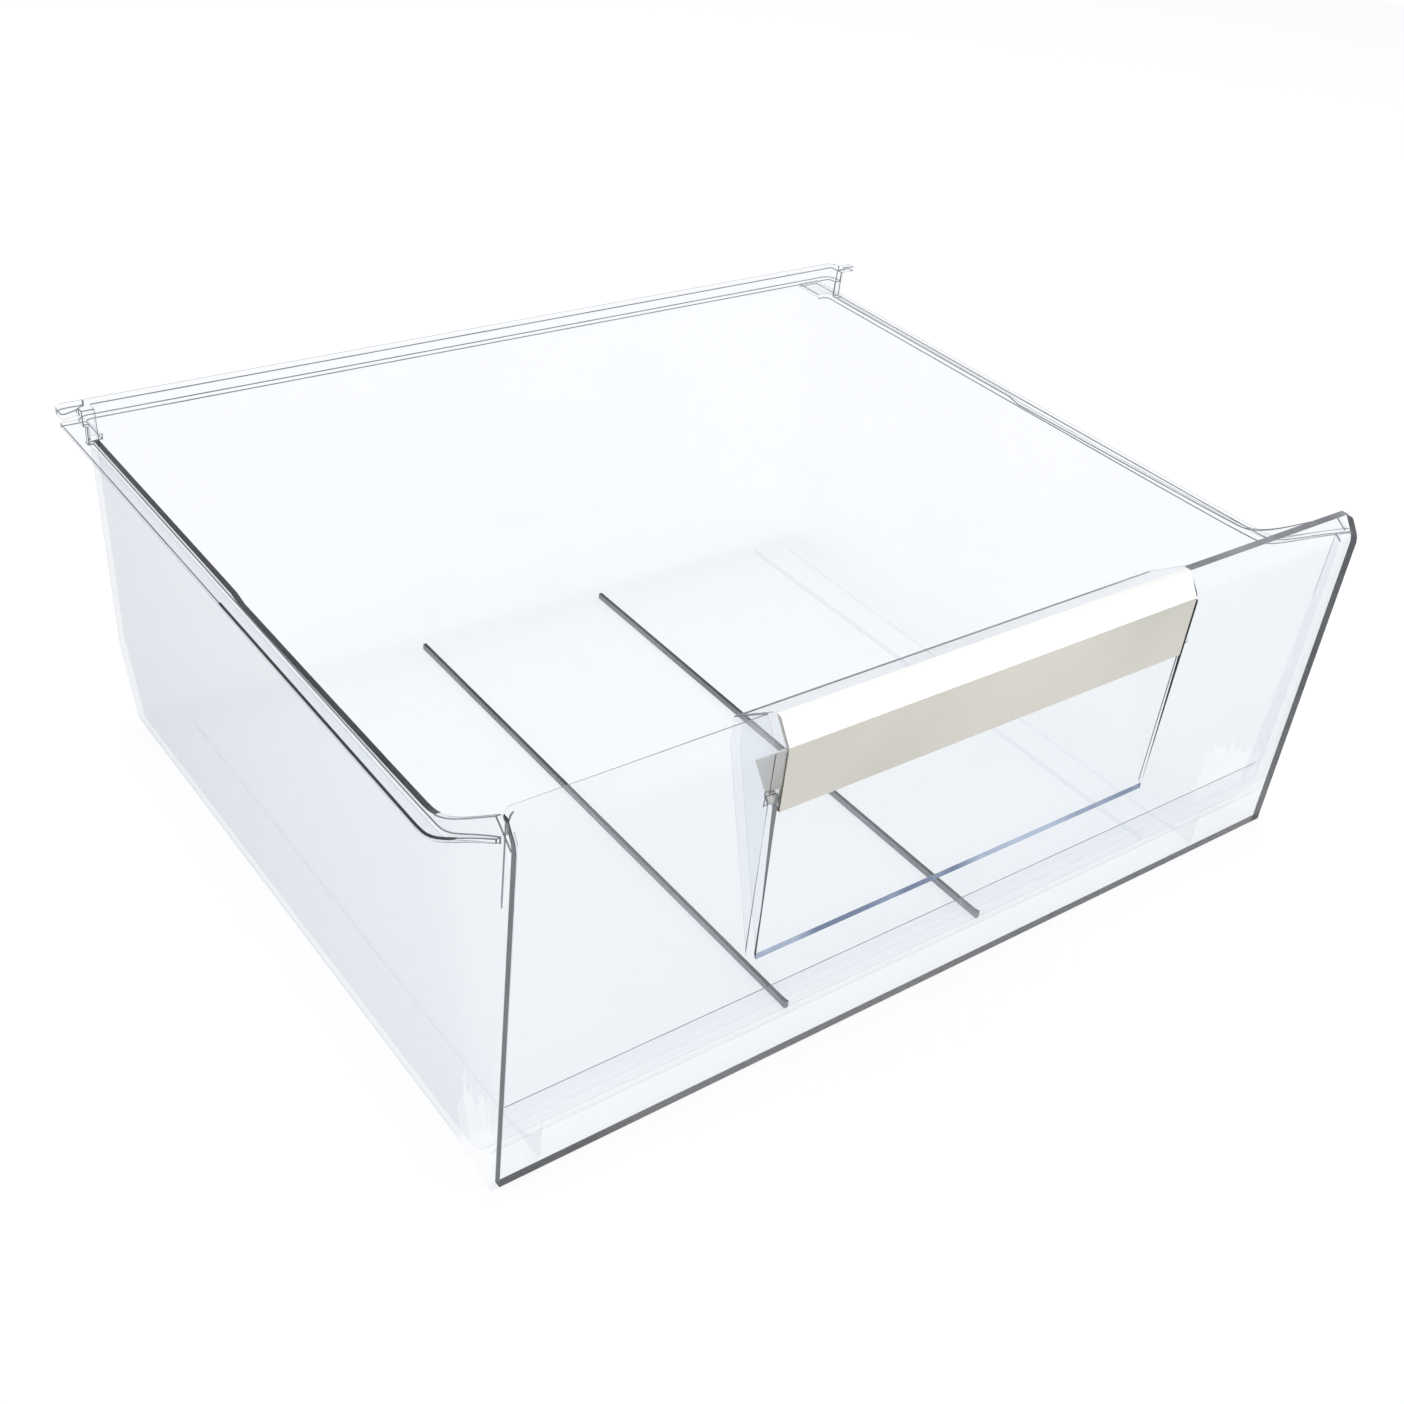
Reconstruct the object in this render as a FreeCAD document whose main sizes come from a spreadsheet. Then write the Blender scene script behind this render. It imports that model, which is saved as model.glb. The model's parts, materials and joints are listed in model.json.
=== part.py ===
import FreeCAD, Part
import os

import Sketcher

# Freezer drawer: a clear moulded tub with runner flanges, a clear front panel
# with a finger recess, and a grip strip clipped across the recess.
#
# Drawing frame: X is 0 on the centre line of the front panel, Y is 0 on the
# panel's front face and grows to the rear, Z is 0 on the surface that the
# drawer stands on. Each sub-part's Placement moves it from there to the
# part's own frame, whose origin is the bottom centre of the whole drawer.

SIZES = {
    # Front panel
    "panel_width": 440.0,
    "panel_thick": 3.0,
    "panel_height": 170.5,
    "panel_band": 9.5,
    "panel_lean": 6.8,
    "panel_bend_radius": 9.0,
    "panel_corner_radius": 3.0,
    # Notch in the panel and finger recess behind it
    "notch_half": 109.5,
    "notch_sill": 61.0,
    "recess_depth": 28.4,
    "recess_knee_drop": 24.0,
    "recess_top_drop": 12.5,
    "recess_wall": 2.5,
    # Grip strip
    "grip_thick": 2.0,
    "grip_drop": 38.1,
    "grip_base_depth": 7.0,
    "grip_lip_depth": 16.8,
    "grip_lip_rise": 12.6,
    "grip_play": 0.3,
    "pin_diameter": 4.0,
    "pin_length": 1.9,
    "pin_root": 3.0,
    "pin_depth": 3.6,
    "pin_rise": 5.2,
    # Tub
    "tub_shift": 15.0,
    "tub_depth": 344.2,
    "tub_half_low": 208.8,
    "tub_half_high": 213.4,
    "tub_rear_lean": 1.4,
    "tub_wall": 2.5,
    "tub_floor": 2.5,
    "ground_gap": 3.0,
    "edge_radius": 4.0,
    "corner_radius": 3.0,
    "seat_gap": 0.1,
    "seat_width": 2.5,
    # Low front toe of the tub, which thins out to its upper edge
    "toe_radius": 20.0,
    "toe_full_height": 26.0,
    "toe_height": 38.0,
    "toe_edge": 0.4,
    "foot_flat": 4.0,
    # Slanted lower part of the rear wall
    "slant_height": 41.0,
    "slant_depth": 16.0,
    # Front end of the side walls, measured from the panel's side edges
    "left_low_out": 3.7,
    "left_high_out": 2.0,
    "right_low_out": 8.2,
    "right_over": 1.5,
    "right_high_out": 3.6,
    "cap_margin": 9.5,
    "crease_low": 27.0,
    "crease_high": 185.0,
    "flare_low": 19.0,
    "flare_high": 36.0,
    "flare_early_share": 0.2,
    "flare_early_place": 0.72,
    "flare_late_share": 0.64,
    "flare_late_place": 0.28,
    # Top edge of the side walls
    "rim_drop": 20.5,
    "rim_dip": 1.4,
    "dip_rear": 196.0,
    "dip_front": 189.0,
    "rim_rise_start": 46.0,
    "rim_rise_share": 1.07,
    "rise_first_place": 0.78,
    "rise_second_place": 0.565,
    "rise_second_share": 0.39,
    "rise_last_place": 0.13,
    # Side flanges that run on the cabinet's rails
    "flange_left_out": 5.8,
    "flange_right_out": 7.4,
    "flange_front_out": 3.0,
    "flange_thick": 2.2,
    "flange_step": 1.5,
    "flange_straight_end": 43.0,
    "flange_rise_start": 36.0,
    "flange_rise_share": 0.75,
    "tail_out": 19.8,
    "tail_inset": 6.4,
    "tail_radius": 1.0,
    # Raised rear rim
    "rear_rise": 15.0,
    "rear_step": 6.2,
    "lip_out": 3.6,
    "lip_thick": 2.2,
    "skirt_thick": 1.6,
    "skirt_drop": 8.0,
    # Stop ears that carry the rear lip on past the side walls
    "ear_left_out": 12.6,
    "ear_right_out": 11.6,
    "ear_right_setback": 5.5,
    "ear_right_share": 0.4,
    "ear_thick": 3.0,
    "ear_root_depth": 7.8,
    "ear_bend_out": 3.0,
    "ear_bend_depth": 8.4,
    "ear_tip_depth": 11.7,
    "ear_rear_radius": 5.0,
    "ear_front_radius": 1.5,
    "web_left_out": 1.8,
    "web_right_out": 3.6,
    "web_thick": 3.0,
    # Underside ribs
    "rib_width": 1.8,
    "rib_front": 18.0,
    "rib_rear_gap": 18.2,
    "rib_first": -55.0,
    "rib_spacing": 111.5,
    "rib_count": 3.0,
    "skid_half": 186.0,
    "skid_width": 1.0,
    "skid_height": 1.2,
    "skid_rear_gap": 26.2,
}

doc = FreeCAD.newDocument("freezer_drawer")
sheet = doc.addObject("Spreadsheet::Sheet", "Sizes")
for row, (alias, value) in enumerate(SIZES.items(), start=1):
    sheet.set(f"A{row}", alias)
    sheet.set(f"B{row}", str(value))
    sheet.setAlias(f"B{row}", alias)
doc.recompute()


def size(alias):
    """Value of one driving dimension, in millimetres."""
    return float(sheet.get(alias))


# Places that follow from the driving dimensions.
PANEL_HALF = size("panel_width") / 2
PANEL_BEND = size("panel_height") - size("panel_band")
LEAN_SLOPE = size("panel_lean") / size("panel_band")
LEAN_DROP = size("panel_thick") * ((1 + LEAN_SLOPE ** 2) ** 0.5 - 1) / LEAN_SLOPE
CAP_HEIGHT = size("panel_height") + size("cap_margin")
TUB_X = -size("tub_shift")
FRONT_SEAT = size("panel_thick") + size("seat_gap")
RIM = size("panel_height") - size("rim_drop")
REAR_TOP = RIM + size("rear_rise")
REAR_STEP = size("tub_depth") - size("rear_step")
FLANGE_TOP = RIM - size("flange_step")
FLANGE_UNDER = FLANGE_TOP - size("flange_thick")
TAIL_END = size("tub_depth") + size("tail_out")

# Cutters reach past everything, and places closer than TOUCH are the same.
FAR = 2000.0
PAST = 1.0
TOUCH = 0.001


def own_frame(piece):
    """Move a sub-part from the drawing frame to the part's own frame."""
    left_reach = "(Sizes.tub_half_high + Sizes.ear_left_out + Sizes.tub_shift)"
    right_reach = "(Sizes.panel_width / 2 + Sizes.right_over)"
    piece.setExpression("Placement.Base.x", f"({left_reach} - {right_reach}) / 2")
    piece.setExpression("Placement.Base.y", "-(Sizes.tub_depth + Sizes.tail_out) / 2")


def add_shape(name, shape):
    """Keep a finished shape as an object of the document."""
    feature = doc.addObject("Part::Feature", name)
    feature.Shape = shape
    return feature


def prism(points, low_x, high_x):
    """Solid between two X places with a polygon of (y, z) points as its section."""
    corners = [FreeCAD.Vector(low_x, y, z) for y, z in points]
    face = Part.Face(Part.makePolygon(corners + corners[:1]))
    return face.extrude(FreeCAD.Vector(high_x - low_x, 0, 0))


def block(low, high):
    """Box between two corners."""
    return Part.makeBox(high.x - low.x, high.y - low.y, high.z - low.z, low)


# Body helpers: sketches whose corners follow the sheet, and pads and pockets.


def origin_plane(body, role):
    """One of a body's own origin planes."""
    for feature in body.Origin.OriginFeatures:
        if feature.Role == role:
            return feature
    raise ValueError(role)


def new_sketch(body, name, role):
    """Empty sketch on one of the body's origin planes."""
    sketch = body.newObject("Sketcher::SketchObject", name)
    sketch.AttachmentSupport = [(origin_plane(body, role), "")]
    sketch.MapMode = "FlatFace"
    return sketch


def number(owner, expression):
    """Present value of an expression."""
    value = owner.evalExpression(expression)
    return float(getattr(value, "Value", value))


def tie_point(sketch, geometry, point, place):
    """Hold one sketch point at a pair of expressions."""
    for kind, expression in zip(("DistanceX", "DistanceY"), place):
        value = number(sketch, expression)
        index = sketch.addConstraint(Sketcher.Constraint(kind, -1, 1, geometry, point, value))
        label = f"{kind}_{geometry}_{point}"
        sketch.renameConstraint(index, label)
        sketch.setExpression(f"Constraints.{label}", expression)


def draw_polygon(sketch, places):
    """Closed outline through places, each a pair of expressions."""
    corners = [FreeCAD.Vector(number(sketch, u), number(sketch, v), 0) for u, v in places]
    count = len(corners)
    for index in range(count):
        line = Part.LineSegment(corners[index], corners[(index + 1) % count])
        sketch.addGeometry(line, False)
    for index in range(count):
        follower = (index + 1) % count
        sketch.addConstraint(Sketcher.Constraint("Coincident", index, 2, follower, 1))
        tie_point(sketch, index, 1, places[index])


def draw_circle(sketch, place, diameter):
    """Circle whose centre and diameter are expressions."""
    centre = FreeCAD.Vector(number(sketch, place[0]), number(sketch, place[1]), 0)
    radius = number(sketch, diameter) / 2
    index = sketch.addGeometry(Part.Circle(centre, FreeCAD.Vector(0, 0, 1), radius), False)
    tie_point(sketch, index, 3, place)
    held = sketch.addConstraint(Sketcher.Constraint("Diameter", index, 2 * radius))
    label = f"Diameter_{index}"
    sketch.renameConstraint(held, label)
    sketch.setExpression(f"Constraints.{label}", diameter)


def grow(body, name, sketch, length):
    """Pad to both sides of the sketch's plane."""
    pad = body.newObject("PartDesign::Pad", name)
    pad.Profile = sketch
    pad.Midplane = True
    pad.setExpression("Length", length)
    doc.recompute()
    return pad


def sink(body, name, sketch, length):
    """Pocket to both sides of the sketch's plane, which must remove material."""
    before = body.Shape.Volume
    pocket = body.newObject("PartDesign::Pocket", name)
    pocket.Profile = sketch
    pocket.Midplane = True
    pocket.setExpression("Length", length)
    doc.recompute()
    if pocket.Shape.Volume >= before:
        raise ValueError(f"{name} cuts nothing")
    return pocket


def round_edges(body, name, wanted, radius):
    """Fillet the edges of the body's tip that the test picks."""
    base = body.Tip
    names = [f"Edge{i}" for i, edge in enumerate(base.Shape.Edges, start=1) if wanted(edge)]
    if not names:
        raise ValueError(f"{name} finds no edge")
    fillet = body.newObject("PartDesign::Fillet", name)
    fillet.Base = (base, names)
    fillet.setExpression("Radius", radius)
    doc.recompute()
    return fillet


def ends(edge):
    """Places of an edge's two ends."""
    return [vertex.Point for vertex in edge.Vertexes]


def upright_edges(shape, wanted):
    """Edges that climb and whose two ends both pass the test."""
    return [
        edge for edge in shape.Edges
        if abs(edge.Vertexes[0].Z - edge.Vertexes[-1].Z) > TOUCH
        and all(wanted(point) for point in ends(edge))
    ]


# Front panel: an upright plate whose top band leans back, with a notch in its
# middle and a wedge-shaped pocket for the fingers behind the notch.

SLOPE = "(Sizes.panel_lean / Sizes.panel_band)"
BEND = "(Sizes.panel_height - Sizes.panel_band)"
DROP = f"(Sizes.panel_thick * (sqrt(1 + {SLOPE}^2) - 1) / {SLOPE})"
BACK_BEND = f"({BEND} - {DROP})"
BACK_TOP = f"(Sizes.panel_thick + (Sizes.panel_height - {BACK_BEND}) * {SLOPE})"

panel = doc.addObject("PartDesign::Body", "FrontPanel")
panel.Label = "front_panel"

plate_sketch = new_sketch(panel, "PlateSection", "YZ_Plane")
draw_polygon(plate_sketch, [
    ("0", "0"),
    ("Sizes.panel_thick", "0"),
    ("Sizes.panel_thick", BACK_BEND),
    (BACK_TOP, "Sizes.panel_height"),
    ("Sizes.panel_lean", "Sizes.panel_height"),
    ("0", BEND),
])
grow(panel, "Plate", plate_sketch, "Sizes.panel_width")


def at_bend(edge):
    """True for the two long edges where the top band starts to lean."""
    a, b = ends(edge)
    near_bend = abs(a.z - PANEL_BEND) <= LEAN_DROP + TOUCH
    return abs(a.x - b.x) > TOUCH and near_bend


def at_top_corner(edge):
    """True for the two short edges at the top corners."""
    a, b = ends(edge)
    on_top = min(a.z, b.z) > size("panel_height") - TOUCH
    return on_top and abs(a.x - b.x) < TOUCH and abs(a.x) > PANEL_HALF - TOUCH


round_edges(panel, "PlateBend", at_bend, "Sizes.panel_bend_radius")
round_edges(panel, "PlateCorners", at_top_corner, "Sizes.panel_corner_radius")

KNEE = "(Sizes.panel_height - Sizes.recess_knee_drop)"
RECESS_TOP = "(Sizes.panel_height - Sizes.recess_top_drop)"
recess_sketch = new_sketch(panel, "RecessOutside", "YZ_Plane")
draw_polygon(recess_sketch, [
    ("Sizes.panel_thick / 2", "Sizes.notch_sill - Sizes.recess_wall"),
    ("Sizes.recess_wall", "Sizes.notch_sill - Sizes.recess_wall / 2"),
    ("Sizes.recess_depth", KNEE),
    ("Sizes.recess_depth", RECESS_TOP),
    (BACK_TOP, "Sizes.panel_height"),
    (f"{BACK_TOP} - Sizes.panel_thick / 2", "Sizes.panel_height"),
    ("Sizes.panel_thick / 2", BACK_BEND),
])
grow(panel, "RecessBlock", recess_sketch, "2 * (Sizes.notch_half + Sizes.recess_wall)")

hollow_sketch = new_sketch(panel, "RecessInside", "YZ_Plane")
draw_polygon(hollow_sketch, [
    ("-Sizes.panel_thick", "Sizes.notch_sill"),
    ("0", "Sizes.notch_sill"),
    ("Sizes.recess_depth - Sizes.recess_wall", KNEE),
    ("Sizes.recess_depth - Sizes.recess_wall", "Sizes.panel_height + Sizes.recess_wall"),
    ("-Sizes.panel_thick", "Sizes.panel_height + Sizes.recess_wall"),
])
sink(panel, "RecessHollow", hollow_sketch, "2 * Sizes.notch_half")

GRIP_BOTTOM = "(Sizes.panel_height - Sizes.grip_drop)"
PIN_PLACE = ("Sizes.pin_depth", f"{GRIP_BOTTOM} + Sizes.pin_rise")
socket_sketch = new_sketch(panel, "PinSockets", "YZ_Plane")
draw_circle(socket_sketch, PIN_PLACE, "Sizes.pin_diameter + 2 * Sizes.grip_play")
sink(panel, "Sockets", socket_sketch, "2 * (Sizes.notch_half + 2 * Sizes.recess_wall)")
own_frame(panel)

# Grip strip: a J-shaped strip between the cheeks of the recess, held by a
# round pin at each end.

grip = doc.addObject("PartDesign::Body", "HandleStrip")
grip.Label = "handle_strip"
pin_sketch = new_sketch(grip, "PinSection", "YZ_Plane")
draw_circle(pin_sketch, PIN_PLACE, "Sizes.pin_diameter")
grow(grip, "Pins", pin_sketch, "2 * (Sizes.notch_half + Sizes.pin_length)")
gap_sketch = new_sketch(grip, "PinGapSection", "YZ_Plane")
draw_circle(gap_sketch, PIN_PLACE, "Sizes.pin_diameter + Sizes.grip_play")
sink(grip, "PinGap", gap_sketch, "2 * (Sizes.notch_half - Sizes.pin_root)")
grip_sketch = new_sketch(grip, "GripSection", "YZ_Plane")
GRIP_DROP = f"(Sizes.grip_thick * (sqrt(1 + {SLOPE}^2) - 1) / {SLOPE})"
GRIP_BEND = f"({BEND} - {GRIP_DROP})"
GRIP_TOP = f"(Sizes.grip_thick + (Sizes.panel_height - {GRIP_BEND}) * {SLOPE})"
LIP_RUN = "(Sizes.grip_lip_depth - Sizes.grip_base_depth)"
LIP_LENGTH = f"sqrt({LIP_RUN}^2 + Sizes.grip_lip_rise^2)"
LIP_BACK = f"(Sizes.grip_thick * Sizes.grip_lip_rise / {LIP_LENGTH})"
LIP_UP = f"(Sizes.grip_thick * {LIP_RUN} / {LIP_LENGTH})"
LIP_TOP = f"({GRIP_BOTTOM} + Sizes.grip_lip_rise)"
KNEE_BACK = f"(Sizes.grip_thick * ({LIP_LENGTH} - {LIP_RUN}) / Sizes.grip_lip_rise)"
draw_polygon(grip_sketch, [
    ("Sizes.panel_lean", "Sizes.panel_height"),
    ("0", BEND),
    ("0", GRIP_BOTTOM),
    ("Sizes.grip_base_depth", GRIP_BOTTOM),
    ("Sizes.grip_lip_depth", LIP_TOP),
    (f"Sizes.grip_lip_depth - {LIP_BACK}", f"{LIP_TOP} + {LIP_UP}"),
    (f"Sizes.grip_base_depth - {KNEE_BACK}", f"{GRIP_BOTTOM} + Sizes.grip_thick"),
    ("Sizes.grip_thick", f"{GRIP_BOTTOM} + Sizes.grip_thick"),
    ("Sizes.grip_thick", GRIP_BEND),
    (GRIP_TOP, "Sizes.panel_height"),
])
grow(grip, "Strip", grip_sketch, "2 * (Sizes.notch_half - Sizes.grip_play)")
own_frame(grip)

# Tub: a drafted shell whose side walls run from a crease to the two side edges
# of the front panel.


def share(height):
    """How far a height lies between the floor and the side rims, from 0 to 1."""
    return (height - size("ground_gap")) / (RIM - size("ground_gap"))


def wall_half(height):
    """Half the width over the side walls at one height."""
    low = size("tub_half_low")
    return low + (size("tub_half_high") - low) * share(height)


def crease_place(height):
    """Y place of the crease in the side walls at one height."""
    return size("crease_low") + (size("crease_high") - size("crease_low")) * share(height)


def rear_place(height):
    """Y place of the rear wall's outer face at one height."""
    return size("tub_depth") + size("tub_rear_lean") * share(height)


def flare(start, end, bend):
    """Curve in one plane that leaves a straight side and ends at the panel's edge."""
    across = end.x - start.x
    poles = [
        start,
        FreeCAD.Vector(start.x, (start.y + bend) / 2, start.z),
        FreeCAD.Vector(start.x, bend, start.z),
        FreeCAD.Vector(
            start.x + size("flare_early_share") * across,
            size("flare_early_place") * bend, start.z),
        FreeCAD.Vector(
            start.x + size("flare_late_share") * across,
            size("flare_late_place") * bend, start.z),
        end,
    ]
    curve = Part.BSplineCurve()
    curve.buildFromPoles(poles, False, 3)
    return curve


def front_outline(height, inset, left_out, right_out, bend):
    """Outline of the space in front of the creases at one height."""
    half = wall_half(height) - inset
    crease = crease_place(height)
    crease_left = FreeCAD.Vector(TUB_X - half, crease, height)
    front_left = FreeCAD.Vector(-PANEL_HALF - left_out + inset, 0, height)
    front_right = FreeCAD.Vector(PANEL_HALF + right_out - inset, 0, height)
    crease_right = FreeCAD.Vector(TUB_X + half, crease, height)
    left_end = flare(crease_left, front_left, bend)
    right_end = flare(crease_right, front_right, bend)
    right_end.reverse()
    return Part.Wire([
        left_end.toShape(),
        Part.LineSegment(front_left, front_right).toShape(),
        right_end.toShape(),
        Part.LineSegment(crease_right, crease_left).toShape(),
    ])


def rear_volume(inset, base):
    """Flat-sided space between the creases and the rear wall."""
    half_low = wall_half(base) - inset
    half_high = wall_half(CAP_HEIGHT) - inset
    volume = Part.makeWedge(
        TUB_X - half_low, base, inset - rear_place(base),
        inset - rear_place(CAP_HEIGHT), TUB_X - half_high,
        TUB_X + half_low, CAP_HEIGHT, -crease_place(base),
        -crease_place(CAP_HEIGHT), TUB_X + half_high,
    )
    volume.rotate(FreeCAD.Vector(), FreeCAD.Vector(1, 0, 0), 90)
    return volume


def toe_cutter(inset, base):
    """Block below the curve that joins the floor to the front toe."""
    radius = size("toe_radius") - inset
    front = FRONT_SEAT + inset
    low = FreeCAD.Vector(-PANEL_HALF - inset, front + radius, base)
    middle = low + FreeCAD.Vector(0, -radius * 0.5 ** 0.5, radius * (1 - 0.5 ** 0.5))
    high = low + FreeCAD.Vector(0, -radius, radius)
    outer = low + FreeCAD.Vector(0, -radius - front, radius)
    under = outer + FreeCAD.Vector(0, 0, -2 * radius)
    behind = low + FreeCAD.Vector(0, 0, -radius)
    edges = [Part.Arc(low, middle, high).toShape()]
    for a, b in ((high, outer), (outer, under), (under, behind), (behind, low)):
        edges.append(Part.LineSegment(a, b).toShape())
    return Part.Face(Part.Wire(edges)).extrude(FreeCAD.Vector(2 * (PANEL_HALF + inset), 0, 0))


def slant_cutter(inset):
    """Block behind the slanted lower part of the rear wall."""
    high_z = size("ground_gap") + size("slant_height")
    high_y = rear_place(high_z)
    low_y = high_y - size("slant_depth")
    run = ((high_y - low_y) ** 2 + size("slant_height") ** 2) ** 0.5
    back_y = -inset * size("slant_height") / run
    up_z = inset * (high_y - low_y) / run
    steep_y = high_y - low_y
    steep_z = size("slant_height")
    points = [
        (low_y + back_y - steep_y, size("ground_gap") + up_z - steep_z),
        (high_y + back_y + steep_y, high_z + up_z + steep_z),
        (high_y + FAR, high_z + up_z + steep_z),
        (high_y + FAR, size("ground_gap") + up_z - steep_z),
    ]
    return prism(points, -FAR, FAR)


def tub_volume(inset, base):
    """Everything inside the tub's walls, moved inward by inset, above base."""
    low = front_outline(
        base, inset, size("left_low_out"), size("right_low_out"), size("flare_low"))
    high = front_outline(
        CAP_HEIGHT, inset, size("left_high_out"), size("right_high_out"), size("flare_high"))
    flared = Part.makeLoft([low, high], True, True)
    volume = rear_volume(inset, base).fuse(flared).removeSplitter()
    rear = size("tub_depth") - inset - TOUCH
    sides = [
        edge for edge in volume.Edges
        if max(abs(point.z - base) for point in ends(edge)) < TOUCH
        and max(point.y for point in ends(edge)) > TOUCH
        and min(point.y for point in ends(edge)) < rear
    ]
    volume = volume.makeFillet(size("edge_radius") - inset, sides)
    corners = upright_edges(volume, lambda point: point.y > rear)
    volume = volume.makeFillet(size("corner_radius") - inset, corners)
    return volume.cut(slant_cutter(inset))


def rise_curve(start, base, last_share):
    """Side view of an edge that climbs from a level run to the panel's top."""
    climb = size("rim_drop")
    poles = [
        FreeCAD.Vector(0, start, base),
        FreeCAD.Vector(0, size("rise_first_place") * start, base),
        FreeCAD.Vector(
            0, size("rise_second_place") * start,
            base + size("rise_second_share") * climb),
        FreeCAD.Vector(0, size("rise_last_place") * start, base + last_share * climb),
    ]
    curve = Part.BSplineCurve()
    curve.buildFromPoles(poles, False, 3)
    return curve.toShape()


def wall_edges():
    """Side view of the side walls' top edge, from the rear forward."""
    front = size("rim_rise_start")
    points = [
        FreeCAD.Vector(0, TAIL_END + PAST, RIM),
        FreeCAD.Vector(0, size("dip_rear"), RIM),
        FreeCAD.Vector(0, size("dip_front"), RIM - size("rim_dip")),
        FreeCAD.Vector(0, front, RIM),
    ]
    edges = [Part.LineSegment(a, b).toShape() for a, b in zip(points, points[1:])]
    return edges + [rise_curve(front, RIM, size("rim_rise_share"))]


def flange_edges(height):
    """Side view of one face of the side flanges, from the rear forward."""
    front = size("flange_rise_start")
    rear_end = FreeCAD.Vector(0, TAIL_END + PAST, height)
    level = Part.LineSegment(rear_end, FreeCAD.Vector(0, front, height)).toShape()
    return [level, rise_curve(front, height, size("flange_rise_share"))]


def below_rim():
    """Everything lower than the top edge of the walls."""
    edges = wall_edges()
    places = [
        edges[-1].Vertexes[-1].Point,
        FreeCAD.Vector(0, -FAR, size("panel_height") + CAP_HEIGHT),
        FreeCAD.Vector(0, -FAR, -FAR),
        FreeCAD.Vector(0, TAIL_END + PAST, -FAR),
        edges[0].Vertexes[0].Point,
    ]
    edges += [Part.LineSegment(a, b).toShape() for a, b in zip(places, places[1:])]
    sides = Part.Face(Part.Wire(edges)).extrude(FreeCAD.Vector(2 * FAR, 0, 0))
    sides.translate(FreeCAD.Vector(-FAR, 0, 0))
    raised = block(
        FreeCAD.Vector(-FAR, REAR_STEP, 0),
        FreeCAD.Vector(FAR, TAIL_END + PAST, REAR_TOP),
    )
    return sides.fuse(raised)


def flange_sheet():
    """Thin sheet across the whole drawer that holds the side flanges."""
    top = flange_edges(FLANGE_TOP)
    under = flange_edges(FLANGE_UNDER)
    start = Part.LineSegment(under[0].Vertexes[0].Point, top[0].Vertexes[0].Point).toShape()
    finish = Part.LineSegment(top[-1].Vertexes[-1].Point, under[-1].Vertexes[-1].Point).toShape()
    face = Part.Face(Part.Wire(top + [finish] + under[::-1] + [start]))
    sheet_solid = face.extrude(FreeCAD.Vector(2 * FAR, 0, 0))
    sheet_solid.translate(FreeCAD.Vector(-FAR, 0, 0))
    return sheet_solid


def flange_plan():
    """Plan of the side flanges out to their edges, as a tall solid."""
    left = TUB_X - size("tub_half_high") - size("flange_left_out")
    right = TUB_X + size("tub_half_high") + size("flange_right_out")
    straight = size("flange_straight_end")
    bend = size("flare_high")
    left_end = flare(
        FreeCAD.Vector(left, straight, 0),
        FreeCAD.Vector(-PANEL_HALF - size("flange_front_out"), 0, 0),
        bend,
    )
    right_end = flare(
        FreeCAD.Vector(right, straight, 0),
        FreeCAD.Vector(PANEL_HALF + size("right_high_out"), 0, 0),
        bend,
    )
    front = Part.LineSegment(left_end.EndPoint, right_end.EndPoint)
    right_end.reverse()
    places = [
        right_end.EndPoint,
        FreeCAD.Vector(right, TAIL_END, 0),
        FreeCAD.Vector(left, TAIL_END, 0),
        left_end.StartPoint,
    ]
    outline = Part.Wire(
        [left_end.toShape(), front.toShape(), right_end.toShape()]
        + [Part.LineSegment(a, b).toShape() for a, b in zip(places, places[1:])]
    )
    plan = Part.Face(outline).extrude(FreeCAD.Vector(0, 0, CAP_HEIGHT))
    tail_half = size("tub_half_high") - size("tail_inset")
    middle = block(
        FreeCAD.Vector(TUB_X - tail_half, REAR_STEP, -PAST),
        FreeCAD.Vector(TUB_X + tail_half, TAIL_END + PAST, CAP_HEIGHT + PAST),
    )
    plan = plan.cut(middle)
    tails = upright_edges(plan, lambda point: point.y > TAIL_END - TOUCH)
    return plan.makeFillet(size("tail_radius"), tails)


def in_front(face_y, low_x):
    """Everything in front of a face that stands upright and then leans back."""
    bend = PANEL_BEND
    if face_y > 0:
        bend = bend - LEAN_DROP
    top = 2 * CAP_HEIGHT
    points = [
        (-FAR, -FAR),
        (face_y, -FAR),
        (face_y, bend),
        (face_y + (top - bend) * LEAN_SLOPE, top),
        (-FAR, top),
    ]
    return prism(points, low_x, FAR)


def rear_zone(low, high):
    """Slab behind the step of the rim, between two heights."""
    return block(FreeCAD.Vector(-FAR, REAR_STEP, low), FreeCAD.Vector(FAR, FAR, high))


def rear_lip(outside):
    """Outward lip with its skirt along the raised rear rim."""
    base = size("ground_gap")
    wide = tub_volume(-size("lip_out"), base)
    narrow = tub_volume(size("skirt_thick") - size("lip_out"), base)
    shelf = wide.common(rear_zone(REAR_TOP - size("lip_thick"), REAR_TOP))
    skirt = wide.cut(narrow).common(rear_zone(REAR_TOP - size("skirt_drop"), REAR_TOP))
    return shelf.fuse(skirt).cut(outside)


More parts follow.
